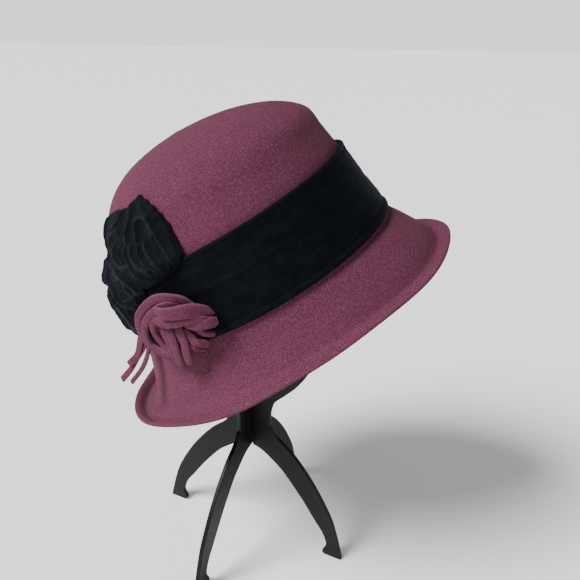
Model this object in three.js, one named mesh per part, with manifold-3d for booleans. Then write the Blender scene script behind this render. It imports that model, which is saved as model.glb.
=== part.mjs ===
// Felt cloche with a velvet band and rosette, resting on a stand of two crossed plates.
// Millimetres, +Z up, floor at 0, the hat's front towards +X.
import * as THREE from 'three';
import { mergeVertices } from 'three/addons/utils/BufferGeometryUtils.js';
import Module from 'manifold-3d';

const wasm = await Module();
wasm.setup();

// Hat sizes along its own axes: x to the front, z up the crown from the band's lower edge
const headLength = 200; // inside, front to back
const headWidth = 168.5; // inside, side to side
const feltWall = 2.5;
const crownHeight = 116.6; // outside
const foldReach = { front: 19.9, side: 9.9, back: 21.5 }; // how far the bell flares out
const foldDrop = { front: 31.7, side: 38.7, back: 46.9 }; // how far it falls
const lipReach = { front: 10.1, side: 12.8, back: 17.9 }; // the turned-out edge beyond the bell
const lipRise = { front: 2.3, side: -0.5, back: 2.7 };

// Velvet and felt trimmings
const bandWidth = 53;
const bandThickness = 2;
const rosetteSpan = 100; // along the crown
const rosetteHeight = 56; // up the crown
const rosetteThickness = 5.5;
const rosetteTurn = -118; // degrees from the front, negative on the side that carries the rosette
const ruffleDepth = 1.3;
const knotSpan = 60;
const knotHeight = 48;
const knotTurn = -106;
const knotLevel = 14; // its middle, above the band's lower edge
const stripWidth = 6; // felt strips of the knot
const stripThickness = 2.2;
const tailReach = 60; // from the knot's middle to the longer strip end, along the felt
const tailFall = 27; // how far it falls from the knot's middle
const tailStand = 28; // how far it stands off the felt

// Stand
const footReach = 84; // from the stand's axis to the heel
const neckReach = 18.3;
const neckLow = 107.3; // the narrow neck between these two levels
const neckHigh = 118.6;
const headReach = 67; // the egg-shaped head of the stand
const headLevel = 248; // where the head is widest
const headTop = 346;
const ribWidth = 16; // rim of the head round its window
const archHeight = 85.7; // top of the arch between the legs
const soleLength = 15.5;
const plateThickness = 3.4;
const slotFit = 0.3; // clearance of the half-laps on every face
const plateTurn = -13; // degrees from the hat's front to the first plate

// How the hat sits on the stand
const frontRaise = 29.1; // degrees that the front is raised
const sideLean = 6.7; // degrees that the hat leans to the rosette's side
const hatForward = 7.5; // middle of the band's lower edge from the stand's axis
const hatSideways = 7.4;
const gap = 0.3; // between neighbouring pieces
const facetSag = 0.35; // how far flat facets stray from the round form under them

const halfLength = headLength / 2 + feltWall;
const halfWidth = headWidth / 2 + feltWall;
const sides = 52; // facets round the hat

// Crown: height as a share of crownHeight, reach and shift to the front as shares of halfLength
const crownRows = [
  { height: 0, reach: 1, shift: 0 },
  { height: 0.2, reach: 0.98, shift: -0.013 },
  { height: 0.45, reach: 0.934, shift: -0.029 },
  { height: 0.62, reach: 0.845, shift: 0.005 },
  { height: 0.76, reach: 0.741, shift: 0.035 },
  { height: 0.87, reach: 0.589, shift: 0.02 },
  { height: 0.945, reach: 0.394, shift: -0.015 },
  { height: 0.985, reach: 0.194, shift: -0.033 },
  { height: 1, reach: 0, shift: -0.039 },
];

// Brim: bell and fall are shares of foldReach and foldDrop, lip and lift of lipReach and lipRise
const brimRows = [
  { bell: 0.14, fall: 0.17, lip: 0, lift: 0 },
  { bell: 0.32, fall: 0.4, lip: 0, lift: 0 },
  { bell: 0.54, fall: 0.64, lip: 0, lift: 0 },
  { bell: 0.76, fall: 0.86, lip: 0, lift: 0 },
  { bell: 0.9, fall: 0.97, lip: 0, lift: 0 },
  { bell: 1, fall: 1, lip: 0.14, lift: 0.02 },
  { bell: 1, fall: 1, lip: 0.4, lift: 0.2 },
  { bell: 1, fall: 1, lip: 0.7, lift: 0.58 },
  { bell: 1, fall: 1, lip: 1, lift: 1 },
];

// Band: rise is a share of bandWidth, swell of bandThickness, from its lower rolled edge to the upper one
const bandRows = [
  { rise: 0.008, swell: 0.1 },
  { rise: 0.01, swell: 1.1 },
  { rise: 0.05, swell: 1.35 },
  { rise: 0.1, swell: 0.95 },
  { rise: 0.28, swell: 1.3 },
  { rise: 0.5, swell: 1 },
  { rise: 0.6, swell: 0.7 },
  { rise: 0.66, swell: 1.15 },
  { rise: 0.9, swell: 0.9 },
  { rise: 0.95, swell: 1.35 },
  { rise: 1, swell: 1.1 },
  { rise: 0.99, swell: 0 },
  { rise: 0.75, swell: 0 },
  { rise: 0.5, swell: 0 },
  { rise: 0.25, swell: 0 },
];

// Rosette lobes: level is up from the band's lower edge, across and up are shares of rosetteSpan and rosetteHeight
const rosetteLobes = [
  {
    name: 'rosette_top',
    folds: 9,
    rows: [
      { across: 0.19, up: 0.91 },
      { across: 0.32, up: 0.78 },
      { across: 0.42, up: 0.57 },
      { across: 0.46, up: 0.32 },
      { across: 0.4, up: 0.14 },
      { across: 0.24, up: 0.03 },
      { across: 0.03, up: 0.02 },
      { across: -0.17, up: 0.16 },
      { across: -0.33, up: 0.46 },
      { across: -0.42, up: 0.68 },
      { across: -0.37, up: 0.84 },
      { across: -0.18, up: 0.88 },
      { across: 0.03, up: 0.86 },
    ],
  },
  {
    name: 'rosette_side',
    folds: 3,
    rows: [
      { across: -0.34, up: 0.37 },
      { across: -0.31, up: 0.2 },
      { across: -0.37, up: 0.06 },
      { across: -0.5, up: 0.04 },
      { across: -0.56, up: 0.2 },
      { across: -0.49, up: 0.4 },
    ],
  },
  {
    name: 'rosette_low',
    folds: 6,
    rows: [
      { across: -0.07, up: -0.03 },
      { across: -0.13, up: -0.17 },
      { across: -0.22, up: -0.36 },
      { across: -0.34, up: -0.54 },
      { across: -0.5, up: -0.46 },
      { across: -0.62, up: -0.25 },
      { across: -0.56, up: -0.06 },
      { across: -0.32, up: -0.01 },
    ],
  },
];
const rosetteFoot = 43; // level of the top lobe's lower edge above the band's lower edge

// Knot strands: across and up are shares of knotSpan and knotHeight, over is in strip thicknesses
const knotStrands = [
  { over: 0.6, rows: [[-0.08, 0.52], [-0.4, 0.38], [-0.52, 0.12], [-0.5, -0.1], [-0.42, -0.24], [-0.3, -0.33]] },
  { over: 1.2, rows: [[0.07, 0.47], [-0.15, 0.44], [-0.31, 0.29], [-0.41, 0.08], [-0.41, -0.13], [-0.31, -0.29]] },
  { over: 0.9, rows: [[0.1, 0.38], [-0.08, 0.37], [-0.25, 0.23], [-0.32, 0.03], [-0.29, -0.1]] },
  { over: 2, rows: [[-0.16, 0.35], [0.05, 0.43], [0.19, 0.38], [0.33, 0.27], [0.45, 0.15], [0.48, -0.01]] },
  { over: 1.6, rows: [[-0.12, 0.31], [0.01, 0.29], [0.2, 0.23], [0.38, 0.16], [0.44, 0.05]] },
  { over: 1.3, rows: [[-0.15, 0.26], [-0.09, 0.18], [0.04, 0.12], [0.23, 0.09], [0.37, 0.01], [0.45, -0.05]] },
  { over: 1, rows: [[-0.21, 0.07], [-0.22, -0.12], [-0.24, -0.33], [-0.27, -0.43]] },
  { over: 1.4, rows: [[-0.09, 0.03], [-0.11, -0.11], [-0.14, -0.34], [-0.17, -0.5]] },
  { over: 1.1, rows: [[0.03, -0.01], [0.04, -0.14], [-0.02, -0.36], [-0.05, -0.48]] },
  { over: 0.9, rows: [[0.05, -0.02], [0.11, -0.23], [0.18, -0.3]] },
  { over: 0.9, rows: [[0.12, 0.04], [0.24, -0.13], [0.32, -0.18]] },
];

// Strip ends from the knot's side: across is a share of tailReach, fall of tailFall, out of tailStand,
// width of stripWidth
const tails = [
  {
    name: 'felt_tail_wide',
    width: 1.083,
    rows: [
      { across: 0.597, fall: 0, out: 0.143 },
      { across: 0.733, fall: 0.222, out: 0.304 },
      { across: 0.867, fall: 0.481, out: 0.571 },
      { across: 0.933, fall: 0.741, out: 0.786 },
      { across: 1, fall: 1, out: 1 },
    ],
  },
  {
    name: 'felt_tail_thin',
    width: 0.667,
    rows: [
      { across: 0.592, fall: 0.259, out: 0.132 },
      { across: 0.7, fall: 0.556, out: 0.393 },
      { across: 0.817, fall: 0.852, out: 0.607 },
      { across: 0.883, fall: 1.148, out: 0.821 },
    ],
  },
];

// Stand plate, outer edge of a leg: reach as a share of footReach, height of neckLow
const legRows = [
  { reach: 1, height: 0 },
  { reach: 0.997, height: 0.03 },
  { reach: 0.956, height: 0.154 },
  { reach: 0.93, height: 0.222 },
  { reach: 0.869, height: 0.352 },
  { reach: 0.73, height: 0.543 },
  { reach: 0.59, height: 0.694 },
  { reach: 0.446, height: 0.818 },
  { reach: 0.3, height: 0.912 },
];

// Arm from the neck to the head's widest level: shares of what the head adds to the neck's reach and level
const armRows = [
  { reach: 0.03, height: 0.045 },
  { reach: 0.09, height: 0.09 },
  { reach: 0.29, height: 0.163 },
  { reach: 0.47, height: 0.235 },
  { reach: 0.64, height: 0.33 },
  { reach: 0.78, height: 0.45 },
  { reach: 0.9, height: 0.62 },
  { reach: 0.975, height: 0.82 },
];

// Arch between the legs, from its top to the sole: reach as a share of the toe's, height of archHeight
const archRows = [
  { reach: 0.16, height: 0.96 },
  { reach: 0.32, height: 0.875 },
  { reach: 0.46, height: 0.78 },
  { reach: 0.69, height: 0.56 },
  { reach: 0.88, height: 0.35 },
  { reach: 0.98, height: 0.24 },
  { reach: 1.03, height: 0.125 },
  { reach: 0.985, height: 0.035 },
];

const colours = { felt: 0x6e3e52, velvet: 0x0d1117, plastic: 0x22242a };

function finish(colour, roughness) {
  return new THREE.MeshStandardMaterial({ color: colour, roughness, metalness: 0 });
}

const felt = finish(colours.felt, 0.95);
const velvet = finish(colours.velvet, 0.9);
const plastic = finish(colours.plastic, 0.55);

// A size given at the front, side and back, blended round the hat
function around(size, turn) {
  const ends = (size.front + size.back) / 2;
  const lean = ((size.front - size.back) / 2) * Math.cos(turn);
  return (ends + size.side) / 2 + lean + ((ends - size.side) / 2) * Math.cos(2 * turn);
}

// Closed loops of equal count, joined in order; the ends meet each other or are capped
function loft(loops, closed = false) {
  const count = loops[0].length;
  const points = loops.flat();
  const faces = [];
  const bands = closed ? loops.length : loops.length - 1;
  for (let row = 0; row < bands; row++) {
    const next = (row + 1) % loops.length;
    for (let side = 0; side < count; side++) {
      const a = row * count + side;
      const b = row * count + ((side + 1) % count);
      const c = next * count + ((side + 1) % count);
      const d = next * count + side;
      faces.push(a, b, c, a, c, d);
    }
  }
  if (!closed) {
    for (const [loop, start, turnBack] of [[loops[0], 0, true], [loops.at(-1), points.length - count, false]]) {
      const middle = loop.reduce((sum, point) => sum.add(point), new THREE.Vector3()).divideScalar(count);
      const centre = points.push(middle) - 1;
      for (let side = 0; side < count; side++) {
        const here = start + side;
        const there = start + ((side + 1) % count);
        faces.push(centre, turnBack ? there : here, turnBack ? here : there);
      }
    }
  }
  const geometry = new THREE.BufferGeometry().setFromPoints(points);
  geometry.setIndex(faces);
  geometry.computeVertexNormals();
  return geometry;
}

function toSolid(geometry) {
  const bare = geometry.clone();
  bare.deleteAttribute('normal');
  bare.deleteAttribute('uv');
  const merged = mergeVertices(bare, 1e-4);
  return new wasm.Manifold(
    new wasm.Mesh({
      numProp: 3,
      vertProperties: new Float32Array(merged.attributes.position.array),
      triVerts: new Uint32Array(merged.index.array),
    }),
  );
}

function toGeometry(solid) {
  const mesh = solid.getMesh();
  const geometry = new THREE.BufferGeometry();
  geometry.setAttribute('position', new THREE.BufferAttribute(mesh.vertProperties, 3));
  geometry.setIndex(new THREE.BufferAttribute(mesh.triVerts, 1));
  geometry.computeVertexNormals();
  return geometry;
}

function piece(name, geometry, material) {
  const mesh = new THREE.Mesh(geometry, material);
  mesh.name = name;
  return mesh;
}

// The felt's outer face, by turn round the hat and height above the band's lower edge
const crownCurve = new THREE.CatmullRomCurve3(
  crownRows.map((row) => new THREE.Vector3(row.reach, row.height, row.shift)),
);

function crownAt(height) {
  let low = 0;
  let high = 1;
  for (let step = 0; step < 30; step++) {
    const middle = (low + high) / 2;
    if (crownCurve.getPoint(middle).y < height) low = middle;
    else high = middle;
  }
  return crownCurve.getPoint(low);
}

function bellAt(fall) {
  const rows = [{ bell: 0, fall: 0 }, ...brimRows.filter((row) => row.lip === 0)];
  const upper = rows.findLastIndex((row) => row.fall <= fall);
  const from = rows[Math.min(upper, rows.length - 2)];
  const to = rows[Math.min(upper, rows.length - 2) + 1];
  return from.bell + ((to.bell - from.bell) * (fall - from.fall)) / (to.fall - from.fall);
}

function crownPoint(turn, share) {
  return new THREE.Vector3(
    halfLength * (share.x * Math.cos(turn) + share.z),
    halfWidth * share.x * Math.sin(turn),
    crownHeight * share.y,
  );
}

function brimPoint(turn, out, drop) {
  return new THREE.Vector3((halfLength + out) * Math.cos(turn), (halfWidth + out) * Math.sin(turn), -drop);
}

function skinAt(turn, height) {
  if (height >= 0) return crownPoint(turn, crownAt(height / crownHeight));
  const fall = -height / around(foldDrop, turn);
  return brimPoint(turn, bellAt(fall) * around(foldReach, turn), -height);
}

// A point lifted off the felt's outer face along its normal
function lifted(turn, height, offset) {
  const along = skinAt(turn + 0.02, height).sub(skinAt(turn - 0.02, height));
  const up = skinAt(turn, height + 1).sub(skinAt(turn, height - 1));
  return skinAt(turn, height).addScaledVector(along.cross(up).normalize(), offset);
}

function makeHood() {
  const outer = [];
  const turns = Array.from({ length: sides }, (_, side) => (side / sides) * 2 * Math.PI);
  for (const row of brimRows.toReversed()) {
    outer.push(
      turns.map((turn) => {
        const out = row.bell * around(foldReach, turn) + row.lip * around(lipReach, turn);
        const drop = row.fall * around(foldDrop, turn) - row.lift * around(lipRise, turn);
        return brimPoint(turn, out, drop);
      }),
    );
  }
  const crownRings = 13;
  for (let ring = 0; ring < crownRings; ring++) {
    const share = crownCurve.getPoint(0.975 * Math.pow(ring / (crownRings - 1), 0.9));
    outer.push(turns.map((turn) => crownPoint(turn, share)));
  }
  const inner = outer.map((ring, row) =>
    ring.map((point, side) => {
      const along = ring[(side + 1) % sides].clone().sub(ring[(side + sides - 1) % sides]);
      const above = outer[Math.min(row + 1, outer.length - 1)][side];
      const below = outer[Math.max(row - 1, 0)][side];
      const normal = along.cross(above.clone().sub(below)).normalize();
      return point.clone().addScaledVector(normal, -feltWall);
    }),
  );
  const edge = outer[0].map((point, side) => {
    const outwards = point.clone().sub(outer[1][side]).setLength(feltWall / 2);
    return point.clone().add(inner[0][side]).divideScalar(2).add(outwards);
  });
  return loft([...inner.toReversed(), edge, ...outer]);
}

function makeBand() {
  const sections = [];
  for (let side = 0; side < sides; side++) {
    const turn = (-side / sides) * 2 * Math.PI;
    sections.push(bandRows.map((row) => lifted(turn, row.rise * bandWidth, gap + row.swell * bandThickness)));
  }
  return loft(sections, true);
}

// How far the band and its rolled edges stand off the felt at a height
function bandTop(height) {
  const full = gap + Math.max(...bandRows.map((row) => row.swell)) * bandThickness;
  const above = THREE.MathUtils.smoothstep(height, bandWidth + 1, bandWidth + 9);
  const below = THREE.MathUtils.smoothstep(-height, -1, 5);
  return full * (1 - Math.max(above, below)) + gap + facetSag;
}

// Millimetres along the felt for one radian at the foot of a piece
function arcAt(turn, height) {
  return skinAt(turn + 0.5, height).distanceTo(skinAt(turn - 0.5, height)) / (2 * Math.sin(0.5));
}

// A ruched lobe: its outline is drawn on the felt, and folds fan over its domed top
function makeLobe(lobe) {
  const middleTurn = THREE.MathUtils.degToRad(rosetteTurn);
  const arc = arcAt(middleTurn, rosetteFoot);
  const outline = new THREE.CatmullRomCurve3(
    lobe.rows.map((row) => new THREE.Vector3(row.across * rosetteSpan, row.up * rosetteHeight, 0)),
    true,
  );
  const points = outline.getSpacedPoints(32).slice(0, 32).reverse();
  const centre = points.reduce((sum, point) => sum.add(point), new THREE.Vector3()).divideScalar(points.length);
  const place = (point, share, dome) => {
    const flat = centre.clone().lerp(point, share);
    const turn = middleTurn + flat.x / arc;
    const height = rosetteFoot + flat.y;
    const angle = Math.atan2(point.y - centre.y, point.x - centre.x);
    const ruffle = ruffleDepth * Math.sin(lobe.folds * angle + 5 * share) * share * dome;
    return lifted(turn, height, bandTop(height) + rosetteThickness * dome + ruffle);
  };
  const ring = (share, dome) => points.map((point) => place(point, share, dome));
  const under = [0.15, 0.42, 0.68, 0.88].map((share) => ring(share, 0));
  const over = [1, 0.94, 0.8, 0.6, 0.35, 0.12].map((share) => ring(share, 0.25 + 0.75 * Math.sqrt(1 - share ** 3)));
  return loft([...under, ...over]);
}

// A flat strip swept along points, its broad side facing out from the hat
function strip(points, facing, width, thickness, steps) {
  const path = new THREE.CatmullRomCurve3(points);
  const faces = new THREE.CatmullRomCurve3(facing);
  const loops = [];
  const corners = 6;
  for (let step = 0; step <= steps; step++) {
    const tangent = path.getTangent(step / steps);
    const out = faces.getPoint(step / steps).projectOnPlane(tangent).normalize();
    const across = out.clone().cross(tangent);
    const middle = path.getPoint(step / steps);
    loops.push(
      Array.from({ length: corners }, (_, corner) => {
        const angle = ((corner + 0.5) / corners) * 2 * Math.PI;
        return middle
          .clone()
          .addScaledVector(across, (Math.cos(angle) * width) / 2)
          .addScaledVector(out, (Math.sin(angle) * thickness) / 2);
      }),
    );
  }
  return loft(loops);
}

function makeKnot() {
  const turn = THREE.MathUtils.degToRad(knotTurn);
  const arc = arcAt(turn, knotLevel);
  const spot = (across, up, offset) => {
    const height = knotLevel + up * knotHeight;
    return lifted(turn + (across * knotSpan) / arc, height, bandTop(height) + offset);
  };
  const facing = (across, up) => spot(across, up, 10).sub(spot(across, up, 0));
  const strands = knotStrands.map((strand) => {
    const offset = (strand.over + 0.5) * stripThickness;
    return toSolid(
      strip(
        strand.rows.map(([across, up]) => spot(across, up, offset)),
        strand.rows.map(([across, up]) => facing(across, up)),
        stripWidth,
        stripThickness * 1.6,
        2 * strand.rows.length - 2,
      ),
    );
  });
  // the wrapped middle that the strands lie over
  const rings = [
    { share: 0.1, offset: 0 },
    { share: 0.5, offset: 0 },
    { share: 0.8, offset: 0 },
    { share: 0.9, offset: 1 },
    { share: 0.8, offset: 2 },
    { share: 0.45, offset: 2.4 },
    { share: 0.1, offset: 2.6 },
  ];
  const core = loft(
    rings.map((ring) =>
      Array.from({ length: 16 }, (_, side) => {
        const angle = (side / 16) * 2 * Math.PI;
        const across = 0.47 * ring.share * Math.cos(angle);
        const up = 0.42 * ring.share * Math.sin(angle);
        return spot(across - 0.02, up + 0.03, ring.offset * stripThickness * 0.6);
      }),
    ),
  );
  return toGeometry(wasm.Manifold.union([toSolid(core), ...strands]));
}

function makeTail(tail) {
  const turn = THREE.MathUtils.degToRad(knotTurn);
  const arc = arcAt(turn, knotLevel);
  const spot = (row, more) =>
    lifted(turn - (row.across * tailReach) / arc, knotLevel - row.fall * tailFall, row.out * tailStand + more);
  const spots = tail.rows.map((row) => spot(row, 0));
  const facing = tail.rows.map((row, index) => spot(row, 4 * stripThickness).sub(spots[index]));
  return strip(spots, facing, tail.width * stripWidth, stripThickness, 10);
}

// Outline of a stand plate, x along the plate from the stand's axis, y up
function plateOutline() {
  const toe = footReach - soleLength;
  const arch = [
    new THREE.Vector2(0, archHeight),
    ...archRows.map((row) => new THREE.Vector2(row.reach * toe, row.height * archHeight)),
    new THREE.Vector2(toe * 1.01, 0),
  ];
  const leg = [
    ...legRows.map((row) => new THREE.Vector2(row.reach * footReach, row.height * neckLow)),
    new THREE.Vector2(neckReach + 3, neckLow - 4),
    new THREE.Vector2(neckReach, neckLow),
  ];
  const arm = [
    new THREE.Vector2(neckReach, neckHigh),
    ...armRows.map(
      (row) =>
        new THREE.Vector2(
          neckReach + row.reach * (headReach - neckReach),
          neckHigh + row.height * (headLevel - neckHigh),
        ),
    ),
  ];
  const dome = [];
  for (let step = 0; step <= 12; step++) {
    const angle = (step / 12) * (Math.PI / 2);
    const height = headLevel + (headTop - headLevel) * Math.sin(angle);
    dome.push(new THREE.Vector2(headReach * Math.cos(angle), height));
  }
  const smooth = (rows, count) => new THREE.SplineCurve(rows).getPoints(count);
  return [...smooth(arch, 16), ...smooth(leg, 15), ...smooth(arm, 12), ...dome.slice(0, -1)];
}

function plateWindow() {
  const reach = headReach - ribWidth;
  const top = headTop - ribWidth;
  const bottom = neckHigh + (headLevel - neckHigh) * 0.46;
  const points = [];
  for (let step = 0; step < 32; step++) {
    const angle = (step / 32) * 2 * Math.PI;
    const rise = Math.sin(angle) > 0 ? top - headLevel : headLevel - bottom;
    points.push(new THREE.Vector2(reach * Math.cos(angle), headLevel + rise * Math.sin(angle)));
  }
  return { points, bottom, top };
}

// A plate with its half-lap slots cut from below or from above
function makePlate(fromBelow) {
  const right = plateOutline();
  const left = right.slice(1).reverse().map((point) => new THREE.Vector2(-point.x, point.y));
  const shape = new THREE.Shape([...right, new THREE.Vector2(0, headTop), ...left]);
  const window = plateWindow();
  shape.holes.push(new THREE.Path(window.points));
  const slab = new THREE.ExtrudeGeometry(shape, { depth: plateThickness, bevelEnabled: false });
  slab.translate(0, 0, -plateThickness / 2);
  slab.rotateX(Math.PI / 2);
  let solid = toSolid(slab);
  const laps = [
    { low: archHeight, high: window.bottom },
    { low: window.top, high: headTop },
  ];
  for (const lap of laps) {
    const middle = (lap.low + lap.high) / 2;
    const low = fromBelow ? lap.low - ribWidth / 2 : middle - slotFit / 2;
    const high = fromBelow ? middle + slotFit / 2 : lap.high + ribWidth / 2;
    const width = plateThickness + 2 * slotFit;
    const cutter = new THREE.BoxGeometry(width, 2 * plateThickness, high - low);
    cutter.translate(0, 0, (low + high) / 2);
    solid = solid.subtract(toSolid(cutter));
  }
  return solid;
}

const stand = new THREE.Group();
const plateSolids = [makePlate(true), makePlate(false)];
const plateTurns = [plateTurn, plateTurn + 90];
['stand_plate_a', 'stand_plate_b'].forEach((name, index) => {
  const plate = piece(name, toGeometry(plateSolids[index]), plastic);
  plate.rotation.z = THREE.MathUtils.degToRad(plateTurns[index]);
  stand.add(plate);
});

const hat = new THREE.Group();
const hood = makeHood();
hat.add(piece('felt_hood', hood, felt));
hat.add(piece('velvet_band', makeBand(), velvet));
for (const lobe of rosetteLobes) hat.add(piece(lobe.name, makeLobe(lobe), velvet));
hat.add(piece('felt_knot', makeKnot(), felt));
for (const tail of tails) hat.add(piece(tail.name, makeTail(tail), felt));
hat.rotation.set(THREE.MathUtils.degToRad(sideLean), THREE.MathUtils.degToRad(-frontRaise), 0, 'YXZ');

// Lower the tilted hat until its crown touches the stand's head, then lift it clear by the gap
function restHat() {
  const head = plateSolids[0].rotate([0, 0, plateTurns[0]]).add(plateSolids[1].rotate([0, 0, plateTurns[1]]));
  const felted = toSolid(hood);
  const touches = (level) => {
    hat.position.set(hatForward, hatSideways, level);
    hat.updateMatrix();
    return !felted.transform(hat.matrix.toArray()).intersect(head).isEmpty();
  };
  let high = headTop;
  let low = headTop - crownHeight - ribWidth;
  while (high - low > 0.01) {
    const middle = (high + low) / 2;
    if (touches(middle)) low = middle;
    else high = middle;
  }
  hat.position.z = high + 1.4 * gap;
}
restHat();

const model = new THREE.Group();
model.add(stand, hat);
model.updateMatrixWorld(true);
const bounds = new THREE.Box3().setFromObject(model, true);
const centre = bounds.getCenter(new THREE.Vector3());
model.position.set(-centre.x, -centre.y, -bounds.min.z);

export default model;
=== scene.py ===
# Felt cloche with a velvet band, rosette and knot, tilted on a stand of two crossed plates
import bpy
import numpy as np
from math import cos, pi, radians, sin
from mathutils import Matrix, Vector


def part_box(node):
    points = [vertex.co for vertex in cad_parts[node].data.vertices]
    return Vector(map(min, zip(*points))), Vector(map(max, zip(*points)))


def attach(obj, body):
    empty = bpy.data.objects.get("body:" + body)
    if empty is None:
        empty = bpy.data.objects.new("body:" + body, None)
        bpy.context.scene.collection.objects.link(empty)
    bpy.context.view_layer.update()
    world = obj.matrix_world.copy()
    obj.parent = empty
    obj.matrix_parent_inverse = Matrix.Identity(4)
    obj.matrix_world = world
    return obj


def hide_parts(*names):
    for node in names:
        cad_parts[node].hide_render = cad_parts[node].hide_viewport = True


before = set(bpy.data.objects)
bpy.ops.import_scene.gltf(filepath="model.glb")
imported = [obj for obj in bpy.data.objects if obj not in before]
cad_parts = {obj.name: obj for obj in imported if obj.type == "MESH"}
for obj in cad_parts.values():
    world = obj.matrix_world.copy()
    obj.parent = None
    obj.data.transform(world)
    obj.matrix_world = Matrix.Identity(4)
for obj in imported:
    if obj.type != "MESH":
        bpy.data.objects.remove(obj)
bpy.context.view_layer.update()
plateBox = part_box("stand_plate_a")
standAxis = np.array([(plateBox[0].x + plateBox[1].x) / 2, (plateBox[0].y + plateBox[1].y) / 2, 0])
print("frame loaded")

# Camera: place from the foot of the stand's axis, then degrees left of +Y, down and rolled
camera = {
    "place": (0.1289, -0.4002, 0.3885),
    "left": 13.77,
    "down": 21.9,
    "roll": 0.9,
    "lens": 38.05,
    "film": 36,
}


def makeCamera():
    # a camera that looks level along +Y is rolled, tipped down and turned left, in this order
    data = bpy.data.cameras.new("camera")
    data.lens = camera["lens"]
    data.sensor_width = camera["film"]
    data.clip_start = 0.01
    item = bpy.data.objects.new("camera", data)
    bpy.context.scene.collection.objects.link(item)
    turn = Matrix.Rotation(radians(camera["left"]), 4, "Z")
    turn = turn @ Matrix.Rotation(radians(90 - camera["down"]), 4, "X")
    turn = turn @ Matrix.Rotation(radians(camera["roll"]), 4, "Z")
    item.matrix_world = Matrix.Translation(Vector(standAxis) + Vector(camera["place"])) @ turn
    bpy.context.scene.camera = item


makeCamera()

# Light and floor
studio = {
    "bright": 1.4,  # strength of the surroundings near the horizon
    "dim": 0.2,  # and overhead
    "fade": (0.05, 0.2),  # sines of the angles above the horizon where the fading begins and ends
    "sun": 6.0,
    "sunFrom": (-0.54, -0.42, 0.73),
    "softness": 28,
    "floor": (0.93, 0.93, 0.935),
    "floorReach": 60,
    "roughness": 0.9,
    "glow": 0.2,
}


def makeStudio():
    # white surroundings that fade upwards from the horizon, a soft sun from the upper left and a pale floor
    world = bpy.data.worlds.new("studio")
    world.use_nodes = True
    tree = world.node_tree
    coordinates = tree.nodes.new("ShaderNodeTexCoord")
    split = tree.nodes.new("ShaderNodeSeparateXYZ")
    tree.links.new(coordinates.outputs["Generated"], split.inputs["Vector"])
    fade = tree.nodes.new("ShaderNodeMapRange")
    fade.inputs["From Min"].default_value, fade.inputs["From Max"].default_value = studio["fade"]
    fade.inputs["To Min"].default_value = studio["bright"]
    fade.inputs["To Max"].default_value = studio["dim"]
    tree.links.new(split.outputs["Z"], fade.inputs["Value"])
    tree.links.new(fade.outputs["Result"], tree.nodes["Background"].inputs["Strength"])
    tree.nodes["Background"].inputs["Color"].default_value = (1, 1, 1, 1)
    bpy.context.scene.world = world
    data = bpy.data.lights.new("sun", "SUN")
    data.energy = studio["sun"]
    data.angle = radians(studio["softness"])
    sun = bpy.data.objects.new("sun", data)
    bpy.context.scene.collection.objects.link(sun)
    sun.rotation_euler = (-Vector(studio["sunFrom"])).to_track_quat("-Z", "Y").to_euler()
    mesh = bpy.data.meshes.new("floor")
    reach = studio["floorReach"]
    corners = [(-reach, -reach, 0), (reach, -reach, 0), (reach, reach, 0), (-reach, reach, 0)]
    mesh.from_pydata(corners, [], [(0, 1, 2, 3)])
    floor = bpy.data.objects.new("floor", mesh)
    bpy.context.scene.collection.objects.link(floor)
    paper = bpy.data.materials.new("floor_paper")
    paper.use_nodes = True
    shader = paper.node_tree.nodes["Principled BSDF"]
    shader.inputs["Base Color"].default_value = (*studio["floor"], 1)
    shader.inputs["Roughness"].default_value = studio["roughness"]
    shader.inputs["Emission Color"].default_value = (1, 1, 1, 1)
    shader.inputs["Emission Strength"].default_value = studio["glow"]
    mesh.materials.append(paper)


makeStudio()
print("camera and studio made")


# Numeric helpers
def smoothRows(rows, count):
    # Catmull-Rom curve through the rows, each row a tuple of values, evenly stepped between rows
    rows = np.array(rows, float)
    padded = np.vstack([2 * rows[0] - rows[1], rows, 2 * rows[-1] - rows[-2]])
    at = np.linspace(0, len(rows) - 1, count)
    cell = np.minimum(at.astype(int), len(rows) - 2)
    t = (at - cell)[:, None]
    p0, p1, p2, p3 = padded[cell], padded[cell + 1], padded[cell + 2], padded[cell + 3]
    curve = 2 * p1 + (p2 - p0) * t + (2 * p0 - 5 * p1 + 4 * p2 - p3) * t**2
    return 0.5 * (curve + (3 * p1 - p0 - 3 * p2 + p3) * t**3)


def smoothStep(low, high, value):
    # 0 below low and 1 above high, with 3 s^2 - 2 s^3 between them
    share = np.clip((value - low) / (high - low), 0, 1)
    return share * share * (3 - 2 * share)


def wobble(a, b, seed, count=5):
    # mean of sines of random direction, length and phase in the plane of a and b, each about one unit long
    dice = np.random.default_rng(seed)
    total = 0
    for step in range(count):
        angle, phase = dice.uniform(0, 2 * pi, 2)
        stretch = dice.uniform(0.6, 1.7)
        total = total + np.sin(2 * pi * stretch * (a * cos(angle) + b * sin(angle)) + phase)
    return total / count


def unit(vectors):
    # each vector divided by its length
    return vectors / np.maximum(np.linalg.norm(vectors, axis=-1, keepdims=True), 1e-12)


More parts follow.
